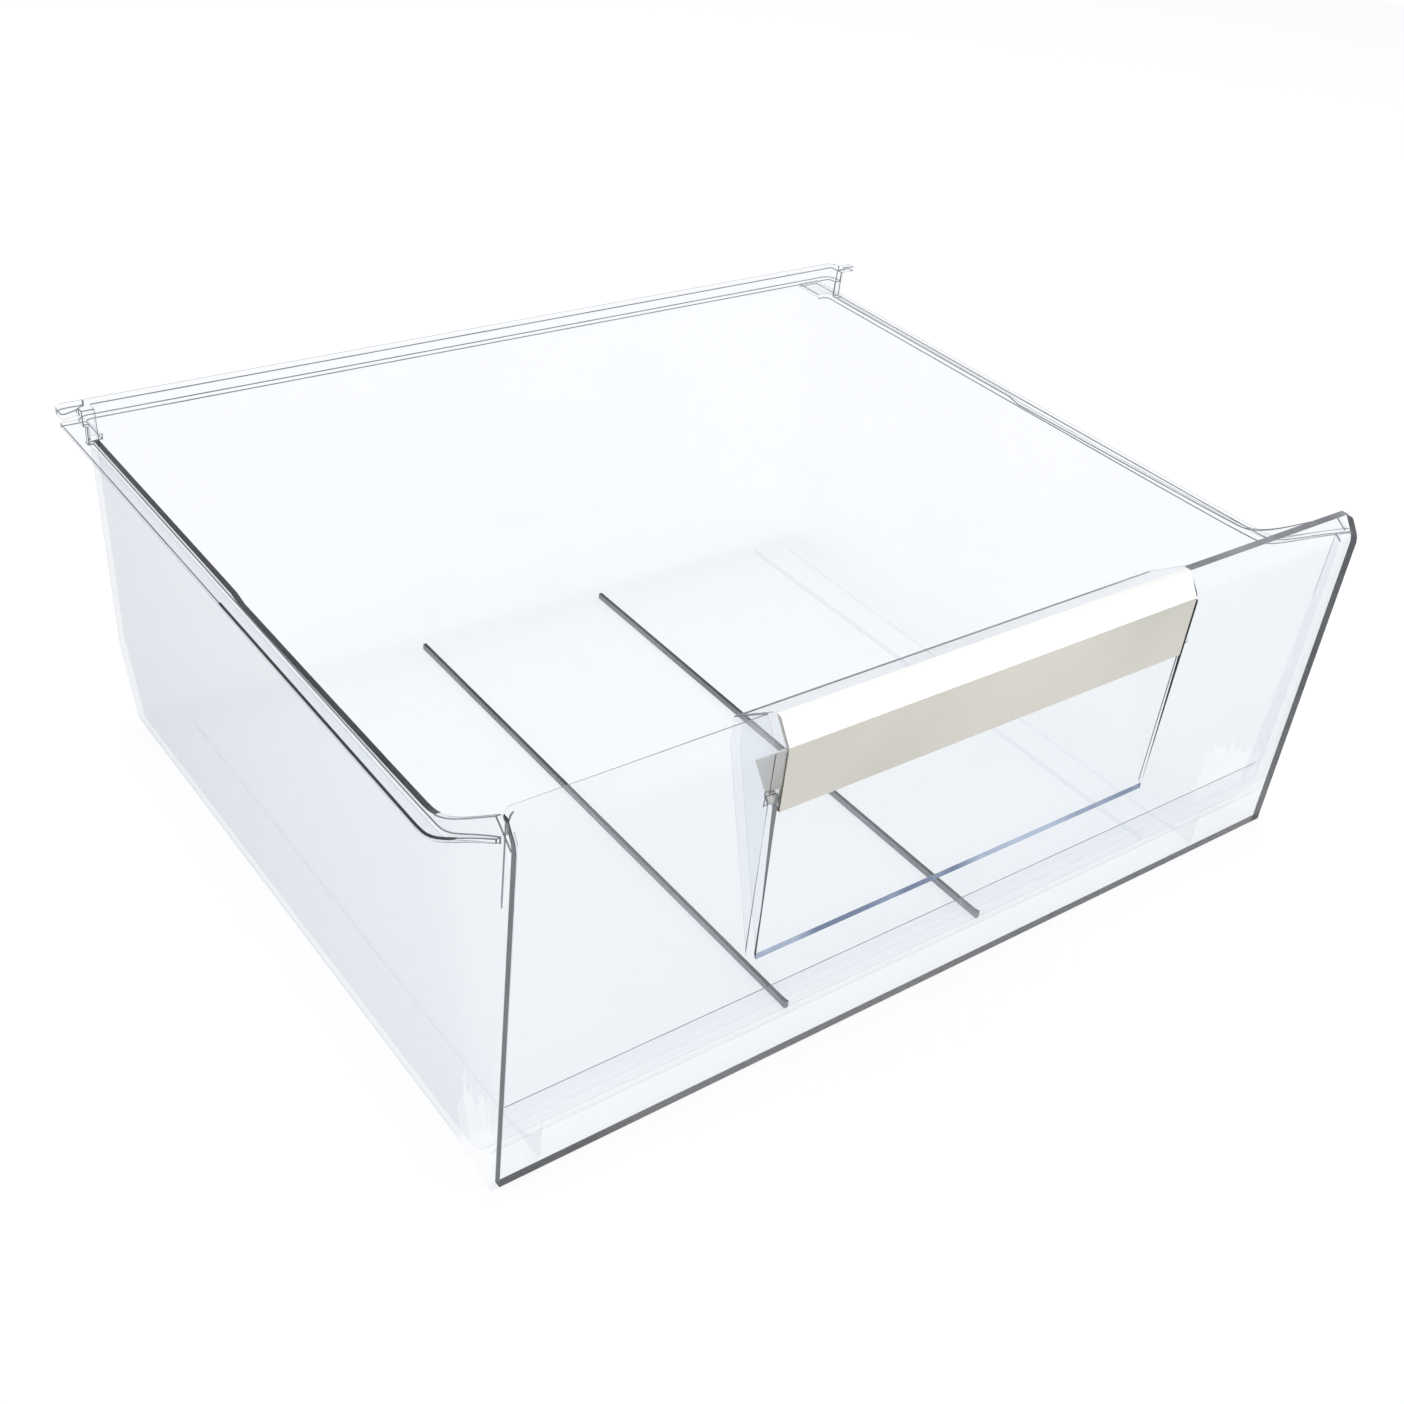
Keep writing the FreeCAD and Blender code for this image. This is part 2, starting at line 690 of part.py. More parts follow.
def ear(side, out, setback, depth_share, web_out):
    """Stop ear at one end of the rear lip, with the upright web below it."""
    half = wall_half(REAR_TOP)
    inner = half - size("tub_wall") / 2
    reach = size("tub_half_high") + out
    rear = rear_place(REAR_TOP) + size("lip_out") - setback
    front = rear - depth_share * size("ear_tip_depth")
    places = [
        (inner, rear),
        (inner, rear - depth_share * size("ear_root_depth")),
        (half + size("ear_bend_out"), rear - depth_share * size("ear_bend_depth")),
        (reach, front),
        (reach, rear),
    ]
    corners = [FreeCAD.Vector(x, y, REAR_TOP - size("ear_thick")) for x, y in places]
    plate = Part.Face(Part.makePolygon(corners + corners[:1]))
    plate = plate.extrude(FreeCAD.Vector(0, 0, size("ear_thick")))
    tip = upright_edges(plate, lambda point: point.x > reach - TOUCH and point.y > rear - TOUCH)
    plate = plate.makeFillet(depth_share * size("ear_rear_radius"), tip)
    tip = upright_edges(plate, lambda point: point.x > reach - TOUCH and point.y < front + TOUCH)
    plate = plate.makeFillet(depth_share * size("ear_front_radius"), tip)
    web = block(
        FreeCAD.Vector(inner, REAR_STEP, FLANGE_UNDER),
        FreeCAD.Vector(half + web_out, REAR_STEP + size("web_thick"), REAR_TOP),
    )
    shape = plate.fuse(web)
    if side < 0:
        shape = shape.mirror(FreeCAD.Vector(), FreeCAD.Vector(1, 0, 0))
    shape.translate(FreeCAD.Vector(TUB_X, 0, 0))
    return shape


def underside_rib(x, width, depth, front, rear, core):
    """Straight rib under the floor that follows the floor's front curve."""
    low = size("ground_gap") - depth
    rib = block(
        FreeCAD.Vector(x - width / 2, front, low),
        FreeCAD.Vector(x + width / 2, rear, size("toe_full_height")),
    )
    return rib.cut(core)


def corner_foot(core):
    """Fin that carries the left wall's front end down to the ground."""
    crease = size("crease_low")
    low = size("ground_gap")
    round_end = size("edge_radius")
    outer = -PANEL_HALF - size("left_low_out")
    points = [
        (0, 0),
        (size("foot_flat"), 0),
        (crease, low),
        (crease + round_end, low + round_end),
        (crease + round_end, size("toe_full_height")),
        (0, size("toe_full_height")),
    ]
    return prism(points, outer, outer + size("tub_wall")).cut(core)


def make_tub():
    """The whole tub as one solid."""
    base = size("ground_gap")
    wall = size("tub_wall")
    inner_base = base + size("tub_floor")
    outside = tub_volume(0, base)
    cavity = tub_volume(wall, inner_base)
    core = tub_volume(wall / 2, (base + inner_base) / 2)
    inner_front = FRONT_SEAT + wall

    behind_front = block(
        FreeCAD.Vector(-FAR, inner_front, -FAR),
        FreeCAD.Vector(FAR, FAR, FAR),
    )
    hollow = cavity.common(behind_front).cut(toe_cutter(wall, inner_base))
    mouth = cavity.copy()
    mouth.translate(FreeCAD.Vector(0, -inner_front - wall, 0))
    seat = PANEL_HALF - size("seat_width")
    above_toe = [
        (-FAR, size("toe_height")),
        (FRONT_SEAT + size("toe_edge"), size("toe_height")),
        (inner_front, size("toe_full_height")),
        (size("crease_low"), size("toe_full_height")),
        (size("crease_low"), FAR),
        (-FAR, FAR),
    ]
    mouth = mouth.common(prism(above_toe, -seat, seat))
    shell = outside.cut(toe_cutter(0, base)).cut(hollow).cut(mouth).common(below_rim())

    flanges = flange_sheet().common(flange_plan()).cut(cavity)
    left_ear = ear(-1, size("ear_left_out"), 0, 1, size("web_left_out"))
    right_ear = ear(
        1, size("ear_right_out"), size("ear_right_setback"), size("ear_right_share"),
        size("web_right_out"))
    additions = [flanges, rear_lip(core), left_ear, right_ear]

    for index in range(int(size("rib_count"))):
        x = TUB_X + size("rib_first") + index * size("rib_spacing")
        additions.append(underside_rib(
            x, size("rib_width"), base, size("rib_front"),
            size("tub_depth") - size("rib_rear_gap"), core))
    toe_core = core.cut(toe_cutter(wall / 2, (base + inner_base) / 2))
    for side in (-1, 1):
        x = TUB_X + side * size("skid_half")
        additions.append(underside_rib(
            x, size("skid_width"), size("skid_height"), FRONT_SEAT,
            size("tub_depth") - size("skid_rear_gap"), toe_core))
    additions.append(corner_foot(core))
    shape = shell.multiFuse(additions)
    beside = -PANEL_HALF - size("seat_gap")
    beyond = block(
        FreeCAD.Vector(PANEL_HALF + size("right_over"), -FAR, -FAR),
        FreeCAD.Vector(FAR, FAR, FAR),
    )
    shape = shape.cut(in_front(FRONT_SEAT, beside)).cut(in_front(0, -FAR)).cut(beyond)
    return shape.removeSplitter()


tub = add_shape("DrawerTub", make_tub())
tub.Label = "drawer_tub"
own_frame(tub)

doc.recompute()

for item in doc.Objects:
    if "Invalid" in item.State or "Error" in item.State:
        raise ValueError(f"{item.Name} failed: {item.State}")

os.makedirs("parts", exist_ok=True)
for piece in (tub, panel, grip):
    shape = piece.Shape
    if shape.isNull() or not shape.isValid() or len(shape.Solids) != 1:
        raise ValueError(f"{piece.Label} is not one valid solid")
    shape.exportStep(f"parts/{piece.Label}.step")
    box = shape.BoundBox
    print(piece.Label, round(shape.Volume), len(shape.Faces), box)
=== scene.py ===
"""Looks of a clear freezer drawer: the tub, the front panel and the grip strip."""

import json
import logging
import math
from dataclasses import dataclass, field
from enum import Enum

import bmesh
import bpy
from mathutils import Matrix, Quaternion, Vector
from mathutils.bvhtree import BVHTree

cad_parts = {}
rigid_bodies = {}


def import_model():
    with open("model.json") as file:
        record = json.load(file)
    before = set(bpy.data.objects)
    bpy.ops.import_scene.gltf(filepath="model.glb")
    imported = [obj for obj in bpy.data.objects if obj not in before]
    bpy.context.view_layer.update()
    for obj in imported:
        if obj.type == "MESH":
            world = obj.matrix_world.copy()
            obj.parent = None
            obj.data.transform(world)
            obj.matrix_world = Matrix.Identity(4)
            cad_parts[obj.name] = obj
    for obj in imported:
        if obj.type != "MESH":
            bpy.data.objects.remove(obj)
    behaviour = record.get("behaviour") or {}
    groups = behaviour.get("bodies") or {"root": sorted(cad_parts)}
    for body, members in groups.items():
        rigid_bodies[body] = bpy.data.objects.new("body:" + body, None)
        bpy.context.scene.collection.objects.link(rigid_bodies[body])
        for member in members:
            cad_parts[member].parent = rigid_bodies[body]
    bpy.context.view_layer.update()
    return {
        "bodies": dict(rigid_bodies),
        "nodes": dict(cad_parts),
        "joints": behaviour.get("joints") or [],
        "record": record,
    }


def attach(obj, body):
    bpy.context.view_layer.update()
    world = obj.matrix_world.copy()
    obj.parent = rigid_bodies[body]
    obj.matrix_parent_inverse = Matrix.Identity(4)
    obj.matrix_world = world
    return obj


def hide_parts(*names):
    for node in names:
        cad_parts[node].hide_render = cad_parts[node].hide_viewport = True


LOG = logging.getLogger("freezer_drawer")

Colour = tuple[float, float, float]


class Slot(Enum):
    """The record's material slots."""

    CLEAR_TUB = "clear_tub"
    CLEAR_PANEL = "clear_panel"
    GRIP = "grip"


class Body(Enum):
    """The bodies that pieces ride on."""

    ROOT = "root"


# Finishes


class NodeTable:
    """A material's node tree with short calls to add and join nodes."""

    def __init__(self, name: str) -> None:
        """Start an empty material.

        Args:
            name: The material's name.
        """
        self.material = bpy.data.materials.new(name)
        self.material.use_nodes = True
        self.tree = self.material.node_tree
        self.tree.nodes.clear()
        self.output = self.tree.nodes.new("ShaderNodeOutputMaterial")

    def add(self, kind: str, **settings: object) -> bpy.types.Node:
        """Add one node.

        Args:
            kind: The node's type.
            settings: Attributes to set on it.

        Returns:
            The new node.
        """
        node = self.tree.nodes.new(kind)
        for name, value in settings.items():
            setattr(node, name, value)
        return node

    def join(self, source: bpy.types.NodeSocket, target: bpy.types.NodeSocket) -> None:
        """Link one socket to another."""
        self.tree.links.new(source, target)

    def object_place(
        self, stretch: Vector = Vector((1.0, 1.0, 1.0)), turn: float = 0.0
    ) -> bpy.types.NodeSocket:
        """Object coordinates, turned and stretched.

        Args:
            stretch: Scale along each axis.
            turn: Turn about the upright axis, in radians.

        Returns:
            The vector socket.
        """
        place = self.add("ShaderNodeTexCoord")
        mapping = self.add("ShaderNodeMapping")
        mapping.inputs["Rotation"].default_value = (0.0, 0.0, turn)
        mapping.inputs["Scale"].default_value = stretch
        self.join(place.outputs["Object"], mapping.inputs["Vector"])
        return mapping.outputs["Vector"]

    def noise(
        self, place: bpy.types.NodeSocket, scale: float, detail: float = 2.0
    ) -> bpy.types.NodeSocket:
        """Noise texture at a place.

        Args:
            place: The coordinates to read.
            scale: Waves in a metre.
            detail: Octaves of finer noise.

        Returns:
            The socket of its strength.
        """
        node = self.add("ShaderNodeTexNoise")
        node.inputs["Scale"].default_value = scale
        node.inputs["Detail"].default_value = detail
        self.join(place, node.inputs["Vector"])
        return node.outputs["Fac"]

    def remap(
        self, source: bpy.types.NodeSocket, start: float, end: float, low: float, high: float
    ) -> bpy.types.NodeSocket:
        """Map a range of values to another.

        Args:
            source: The values.
            start: Where the old range starts.
            end: Where the old range ends.
            low: Result at start.
            high: Result at end.

        Returns:
            The socket of the result.
        """
        node = self.add("ShaderNodeMapRange")
        node.inputs["From Min"].default_value = start
        node.inputs["From Max"].default_value = end
        node.inputs["To Min"].default_value = low
        node.inputs["To Max"].default_value = high
        self.join(source, node.inputs["Value"])
        return node.outputs["Result"]

    def bump(
        self, height: bpy.types.NodeSocket, depth: float, strength: float = 0.4
    ) -> bpy.types.NodeSocket:
        """Surface relief from a height.

        Args:
            height: The height's socket.
            depth: Metres between low and high.
            strength: Share of the relief that shows.

        Returns:
            The normal's socket.
        """
        node = self.add("ShaderNodeBump")
        node.inputs["Strength"].default_value = strength
        node.inputs["Distance"].default_value = depth
        self.join(height, node.inputs["Height"])
        return node.outputs["Normal"]


@dataclass(frozen=True)
class WallFinish:
    """Clear plastic of an even wall: seen through without bending, with gloss and faint scuffs."""

    name: str
    tint: Colour = (0.968, 0.974, 0.982)
    flat_tint: Colour = (0.40, 0.43, 0.49)
    flat_power: float = 6.5
    haze_colour: Colour = (0.86, 0.88, 0.90)
    face_gloss: float = 0.05
    flat_gloss: float = 0.35
    gloss_low: float = 0.04
    gloss_high: float = 0.12
    ripple_waves: float = 16.0
    ripple_depth: float = 0.0002
    cloud_start: float = 0.4
    cloud_end: float = 0.7
    scuff_waves: float = 9.0
    scuff_start: float = 0.45
    scuff_end: float = 0.65
    scuff_share: float = 0.025

    def scuffs(self, table: NodeTable) -> bpy.types.NodeSocket:
        """Faint worn patches.

        Args:
            table: The node tree to add to.

        Returns:
            The socket of their strength.
        """
        patches = table.noise(table.object_place(), self.scuff_waves, 3.0)
        return table.remap(patches, self.scuff_start, self.scuff_end, 0.0, self.scuff_share)

    def build(self) -> bpy.types.Material:
        """Make the material.

        Returns:
            A see-through material with more gloss at a flat angle.
        """
        table = NodeTable(self.name)
        film = table.add("ShaderNodeBsdfTransparent")
        depth = table.add("ShaderNodeMix", data_type="RGBA")
        depth.inputs["A"].default_value = (*self.tint, 1.0)
        depth.inputs["B"].default_value = (*self.flat_tint, 1.0)
        table.join(depth.outputs["Result"], film.inputs["Color"])
        gloss = table.add("ShaderNodeBsdfPrincipled")
        gloss.inputs["Base Color"].default_value = (*self.haze_colour, 1.0)
        place = table.object_place()
        patches = table.noise(place, self.ripple_waves / 2, 5.0)
        table.join(
            table.remap(
                patches, self.cloud_start, self.cloud_end, self.gloss_low, self.gloss_high),
            gloss.inputs["Roughness"])
        relief = table.bump(table.noise(place, self.ripple_waves), self.ripple_depth)
        table.join(relief, gloss.inputs["Normal"])
        facing = table.add("ShaderNodeLayerWeight")
        facing.inputs["Blend"].default_value = 0.5
        table.join(relief, facing.inputs["Normal"])
        steep = table.add("ShaderNodeMath", operation="POWER")
        steep.inputs[1].default_value = self.flat_power
        table.join(facing.outputs["Facing"], steep.inputs[0])
        table.join(steep.outputs["Value"], depth.inputs["Factor"])
        share = table.remap(steep.outputs["Value"], 0.0, 1.0, self.face_gloss, self.flat_gloss)
        total = table.add("ShaderNodeMath", operation="ADD", use_clamp=True)
        table.join(share, total.inputs[0])
        table.join(self.scuffs(table), total.inputs[1])
        mix = table.add("ShaderNodeMixShader")
        table.join(total.outputs["Value"], mix.inputs["Fac"])
        table.join(film.outputs["BSDF"], mix.inputs[1])
        table.join(gloss.outputs["BSDF"], mix.inputs[2])
        table.join(mix.outputs["Shader"], table.output.inputs["Surface"])
        return table.material


@dataclass(frozen=True)
class EdgeFinish:
    """Painted shade for clear plastic's edges and creases, which look dark there from the light
    the plastic bends and traps.
    """

    name: str
    painted_shade_darkest: Colour = (0.008, 0.009, 0.012)
    painted_shade_lightest: Colour = (0.020, 0.022, 0.028)
    clear_share: float = 0.15
    shine: float = 0.25
    cloud_waves: float = 30.0
    gloss_low: float = 0.08
    gloss_high: float = 0.2

    def build(self) -> bpy.types.Material:
        """Make the material.

        Returns:
            A dark glossy painted-shade material that lets some light pass.
        """
        table = NodeTable(self.name)
        shader = table.add("ShaderNodeBsdfPrincipled")
        shader.inputs["Transmission Weight"].default_value = self.clear_share
        shader.inputs["Specular IOR Level"].default_value = self.shine
        cloud = table.noise(table.object_place(), self.cloud_waves, 3.0)
        # Painted shade: noise mixes two near-black colours for the dark edges and creases.
        mix = table.add("ShaderNodeMix", data_type="RGBA")
        mix.inputs["A"].default_value = (*self.painted_shade_darkest, 1.0)
        mix.inputs["B"].default_value = (*self.painted_shade_lightest, 1.0)
        table.join(table.remap(cloud, 0.35, 0.65, 0.0, 1.0), mix.inputs["Factor"])
        table.join(mix.outputs["Result"], shader.inputs["Base Color"])
        gloss = table.remap(cloud, 0.3, 0.7, self.gloss_low, self.gloss_high)
        table.join(gloss, shader.inputs["Roughness"])
        table.join(shader.outputs["BSDF"], table.output.inputs["Surface"])
        return table.material


@dataclass(frozen=True)
class SatinFinish:
    """Warm silver paint with a fine grain along the strip."""

    name: str
    light: Colour = (0.64, 0.615, 0.56)
    dark: Colour = (0.53, 0.525, 0.46)
    metal: float = 0.6
    gloss_low: float = 0.34
    gloss_high: float = 0.42
    grain_waves: float = 1800.0
    grain_depth: float = 0.00001

    def build(self) -> bpy.types.Material:
        """Make the material.

        Returns:
            A satin metal-effect material.
        """
        table = NodeTable(self.name)
        shader = table.add("ShaderNodeBsdfPrincipled")
        shader.inputs["Metallic"].default_value = self.metal
        place = table.object_place(Vector((0.05, 1.0, 1.0)))
        grain = table.noise(place, self.grain_waves, 3.0)
        cloud = table.noise(table.object_place(), 9.0, 3.0)
        mix = table.add("ShaderNodeMix", data_type="RGBA")
        mix.inputs["A"].default_value = (*self.dark, 1.0)
        mix.inputs["B"].default_value = (*self.light, 1.0)
        table.join(table.remap(cloud, 0.3, 0.7, 0.0, 1.0), mix.inputs["Factor"])
        table.join(mix.outputs["Result"], shader.inputs["Base Color"])
        gloss = table.remap(grain, 0.3, 0.7, self.gloss_low, self.gloss_high)
        table.join(gloss, shader.inputs["Roughness"])
        table.join(table.bump(grain, self.grain_depth), shader.inputs["Normal"])
        table.join(shader.outputs["BSDF"], table.output.inputs["Surface"])
        return table.material


@dataclass(frozen=True)
class FloorFinish:
    """Plain pale floor that shows white and keeps a soft shadow."""

    name: str = "pale_floor"
    colour: Colour = (0.9, 0.9, 0.9)
    glow: float = 1.0
    glow_share: float = 0.7

    def build(self) -> bpy.types.Material:
        """Make the material.

        Returns:
            A matt white material, part of which glows to what looks at it.
        """
        table = NodeTable(self.name)
        matt = table.add("ShaderNodeBsdfDiffuse")
        matt.inputs["Color"].default_value = (*self.colour, 1.0)
        glow = table.add("ShaderNodeEmission")
        glow.inputs["Strength"].default_value = self.glow
        share = table.add("ShaderNodeMath", operation="MULTIPLY")
        share.inputs[1].default_value = self.glow_share
        table.join(seen_by_rays(table.tree), share.inputs[0])
        mix = table.add("ShaderNodeMixShader")
        table.join(share.outputs["Value"], mix.inputs["Fac"])
        table.join(matt.outputs["BSDF"], mix.inputs[1])
        table.join(glow.outputs["Emission"], mix.inputs[2])
        table.join(mix.outputs["Shader"], table.output.inputs["Surface"])
        return table.material


def seen_by_rays(tree: bpy.types.NodeTree) -> bpy.types.NodeSocket:
    """One where a camera, mirror or see-through ray looks, and zero elsewhere.

    Args:
        tree: The node tree to add to.

    Returns:
        The socket of the result.
    """
    path = tree.nodes.new("ShaderNodeLightPath")
    seen = path.outputs["Is Camera Ray"]
    for kind in ("Is Glossy Ray", "Is Transmission Ray"):
        most = tree.nodes.new("ShaderNodeMath")
        most.operation = "MAXIMUM"
        tree.links.new(seen, most.inputs[0])
        tree.links.new(path.outputs[kind], most.inputs[1])
        seen = most.outputs["Value"]
    return seen


# Pieces


@dataclass
class MouldedPiece:
    """A piece that takes its shape from a solid of the frame, with eased edges."""

    name: str
    node: str
    slot: Slot
    finish: WallFinish | SatinFinish
    edge_radius: float = 0.0003
    edge_steps: int = 2
    merge_distance: float = 2e-6
    flat_angle: float = math.radians(0.1)
    sharp_angle: float = math.radians(35.0)

    def shape(self, source: bpy.types.Object) -> bpy.types.Mesh:
        """Join the solid's facets and ease its edges.

        Args:
            source: The frame's object.

        Returns:
            The finished mesh.
        """
        bm = bmesh.new()
        bm.from_mesh(source.data)
        bmesh.ops.remove_doubles(bm, verts=bm.verts, dist=self.merge_distance)
        bmesh.ops.dissolve_limit(
            bm, angle_limit=self.flat_angle, verts=bm.verts, edges=bm.edges)
        self.sort_faces(bm)
        if self.edge_radius:
            sharp = [
                edge for edge in bm.edges
                if edge.is_manifold and edge.calc_face_angle(0.0) > self.sharp_angle
            ]
            bmesh.ops.bevel(
                bm, geom=sharp, offset=self.edge_radius, offset_type="OFFSET",
                segments=self.edge_steps, profile=0.5, affect="EDGES",
                clamp_overlap=True, material=-1,
            )
        self.shade(bm)
        mesh = bpy.data.meshes.new(self.name)
        bm.to_mesh(mesh)
        bm.free()
        return mesh

    def shade(self, bm: bmesh.types.BMesh) -> None:
        """Shade smooth, apart from sharp edges and those between two finishes.

        Args:
            bm: The finished piece.
        """
        bm.normal_update()
        for face in bm.faces:
            face.smooth = True
        for edge in bm.edges:
            looks = {face.material_index for face in edge.link_faces}
            edge.smooth = len(looks) == 1 and edge.calc_face_angle(0.0) < self.sharp_angle

    def sort_faces(self, bm: bmesh.types.BMesh) -> None:
        """Give each face the place of its finish; here all have the first."""

    def finishes(self) -> list[bpy.types.Material]:
        """Materials in the order of their places."""
        return [self.finish.build()]

    def build(self, frame: dict) -> bpy.types.Object:
        """Make the piece and let it stand for its solid.


        Returns:
            The piece.
        """
        piece = bpy.data.objects.new(self.name, self.shape(frame["nodes"][self.node]))
        bpy.context.scene.collection.objects.link(piece)
        even = piece.modifiers.new("even_normals", "WEIGHTED_NORMAL")
        even.keep_sharp = True
        for material in self.finishes():
            piece.data.materials.append(material)
        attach(piece, Body.ROOT.value)
        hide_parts(self.node)
        LOG.info("%s has %d faces", self.name, len(piece.data.polygons))
        return piece


class Look(Enum):
    """How a face of a clear piece looks, as the place of its finish; EDGE, LINE and SILL are
    painted shade.
    """

    WALL = 0
    THIN = 1
    EDGE = 2
    LINE = 3
    SILL = 4


@dataclass
class ClearMoulding(MouldedPiece):
    """A clear piece: even walls, narrow edges painted dark as painted shade, and fine painted
    shade lines along its creases.
    """

    finish: WallFinish = WallFinish("clear_wall_plastic")
    thin_finish: WallFinish = WallFinish(
        "thin_wall_plastic", tint=(0.992, 0.994, 0.997), flat_tint=(0.86, 0.87, 0.89),
        face_gloss=0.015, flat_gloss=0.1)
    # Painted shade: the edge, line and sill materials put dark colour where the clear plastic
    # looks dark from the light it bends and traps.
    edge_painted_shade: EdgeFinish = EdgeFinish("painted_shade_edge_plastic")
    line_painted_shade: EdgeFinish = EdgeFinish(
        "painted_shade_line_plastic", painted_shade_darkest=(0.10, 0.105, 0.12), painted_shade_lightest=(0.20, 0.21, 0.23))
    sill_painted_shade: EdgeFinish = EdgeFinish(
        "painted_shade_sill_plastic", painted_shade_darkest=(0.13, 0.17, 0.27), painted_shade_lightest=(0.38, 0.45, 0.58))
    edge_width: float = 0.0037
    edge_depth: float = 0.0055
    line_width: float = 0.0004
    line_angle: float = math.radians(55.0)
    ray_start: float = 1e-5
    along: float = 0.9

    def is_edge(self, face: bmesh.types.BMFace, tree: BVHTree) -> bool:
        """Whether a face is narrow and has more than edge_depth of plastic behind it.

        Args:
            face: The face to look at.
            tree: The piece's faces, to measure the depth in.

        Returns:
            True for the edge of a wall, a flange or a panel.
        """
        if width_of(face) > self.edge_width:
            return False
        start = face.calc_center_median() - face.normal * self.ray_start
        hit = tree.ray_cast(start, -face.normal)
        return hit[0] is not None and hit[3] > self.edge_depth

    def look_of(self, face: bmesh.types.BMFace, tree: BVHTree) -> Look:
        """Look of one face.

        Args:
            face: The face.
            tree: The piece's faces.

        Returns:
            Its look.
        """
        return Look.EDGE if self.is_edge(face, tree) else Look.WALL

    def lines(self) -> list[tuple[Look, float]]:
        """Kinds of line in the order in which they are cut, each a look and a width."""
        return []

    def line_of(self, edge: bmesh.types.BMEdge) -> tuple[Look, float] | None:
        """Look and width of the line along an edge, or None where there is none."""
        return None

    def sort_faces(self, bm: bmesh.types.BMesh) -> None:
        """Give each face the place of its look, and cut the painted shade lines along the creases.

        Args:
            bm: The piece before its edges are eased.
        """
        bm.normal_update()
        tree = BVHTree.FromBMesh(bm)
        for face in bm.faces:
            face.material_index = self.look_of(face, tree).value
        self.cut_lines(bm)

    def cut_lines(self, bm: bmesh.types.BMesh) -> None:
        """Ease the edges that show as lines, and give the cut faces their painted shade looks.

        Args:
            bm: The piece.
        """
        for line in self.lines():
            look, width = line
            cut = bmesh.ops.bevel(
                bm, geom=[e for e in bm.edges if e.is_manifold and self.line_of(e) == line],
                offset=width, offset_type="OFFSET", segments=1, profile=0.5,
                affect="EDGES", clamp_overlap=False, material=-1,
            )
            for face in cut["faces"]:
                face.material_index = look.value

    def finishes(self) -> list[bpy.types.Material]:
        """Materials in the order of the looks."""
        parts = (self.finish, self.thin_finish, self.edge_painted_shade,
                 self.line_painted_shade, self.sill_painted_shade)
        return [part.build() for part in parts]


def width_of(face: bmesh.types.BMFace) -> float:
    """Mean width of a long face."""
    return 2 * face.calc_area() / face.calc_perimeter()


def middle_of(edge: bmesh.types.BMEdge) -> Vector:
    """Middle of an edge."""
    return (edge.verts[0].co + edge.verts[1].co) / 2


def cut_faces(
    bm: bmesh.types.BMesh, faces: list[bmesh.types.BMFace], place: Vector, normal: Vector
) -> None:
    """Cut faces along a plane and keep both sides.

    Args:
        bm: The piece.
        faces: The faces to cut.
        place: A point of the plane.
        normal: The plane's direction.
    """
    parts = {part: None for face in faces for part in (face, *face.edges, *face.verts)}
    bmesh.ops.bisect_plane(bm, geom=list(parts), plane_co=place, plane_no=normal)


@dataclass
class Tub(ClearMoulding):
    """The tub: a left rim with painted shade, clear flanges and ears, ribs under its floor with
    painted shade on their narrow faces.
    """

    flange_under: float = 0.1455
    rim_level: float = 0.1484
    rim_reach: float = 0.0030
    left_half: float = -0.15
    toe_back: float = -0.1590
    toe_level: float = 0.0385
    toe_edge_level: float = 0.0379
    toe_edge_reach: float = 0.0002
    rib_level: float = 0.0030
    dark_rib_end: float = 0.10
    flange_left: float = -0.2200
    flange_reach: float = 0.0100
    flange_line_width: float = 0.0008
    flange_over: float = 0.1490
    flange_slope: float = 0.6
    dark_flange_end: float = 0.012

    def look_of(self, face: bmesh.types.BMFace, tree: BVHTree) -> Look:
        """Look of one face.

        Args:
            face: The face.
            tree: The piece's faces.

        Returns:
            Its look.
        """
        centre = face.calc_center_median()
        narrow = width_of(face) < self.edge_width
        # Painted shade: the ribs' narrow faces, the toe's top edge and the left rim's top get the
        # dark materials.
        if centre.z < self.rib_level and narrow and abs(centre.x) < self.dark_rib_end:
            return Look.EDGE if face.normal.z < -self.along else Look.LINE
        toe_edge = abs(centre.z - self.toe_edge_level) < self.toe_edge_reach
        if toe_edge and face.normal.z > self.along:
            return Look.LINE
        if centre.y < self.toe_back and centre.z < self.toe_level:
            return Look.THIN
        rim = self.rim_level < centre.z < self.rim_level + self.rim_reach
        left_rim = rim and face.normal.z > self.along and centre.x < self.left_half
        return Look.EDGE if left_rim and self.is_edge(face, tree) else Look.WALL

    def line_of(self, edge: bmesh.types.BMEdge) -> tuple[Look, float] | None:
        """Painted shade line along a crease of the rim, the flanges or the ears.

        Args:
            edge: The edge.

        Returns:
            Its look and width, or None.
        """
        middle = middle_of(edge)
        if middle.z < self.flange_under or edge.calc_face_angle(0.0) < self.line_angle:
            return None
        if any(face.material_index == Look.EDGE.value for face in edge.link_faces):
            return None
        flange_edge = (
            middle.x < self.flange_left and middle.y < self.dark_flange_end
            and any(face.normal.z > self.flange_slope for face in edge.link_faces)
        )
        if flange_edge:
            return Look.EDGE, self.flange_line_width
        return Look.LINE, self.line_width

    def lines(self) -> list[tuple[Look, float]]:
        """The flange edge's painted shade, then the painted shade lines of the other creases."""
        return [(Look.EDGE, self.flange_line_width), (Look.LINE, self.line_width)]

    def sort_faces(self, bm: bmesh.types.BMesh) -> None:
        """Cut the left flange where its painted shade edge ends, then sort the faces.

        Args:
            bm: The tub.
        """
        flange = [
            face for face in bm.faces
            if face.calc_center_median().x < self.flange_left + self.flange_reach
            and self.flange_under < face.calc_center_median().z < self.flange_over
        ]
        cut_faces(bm, flange, Vector((0.0, self.dark_flange_end, 0.0)), Vector((0.0, 1.0, 0.0)))
        super().sort_faces(bm)


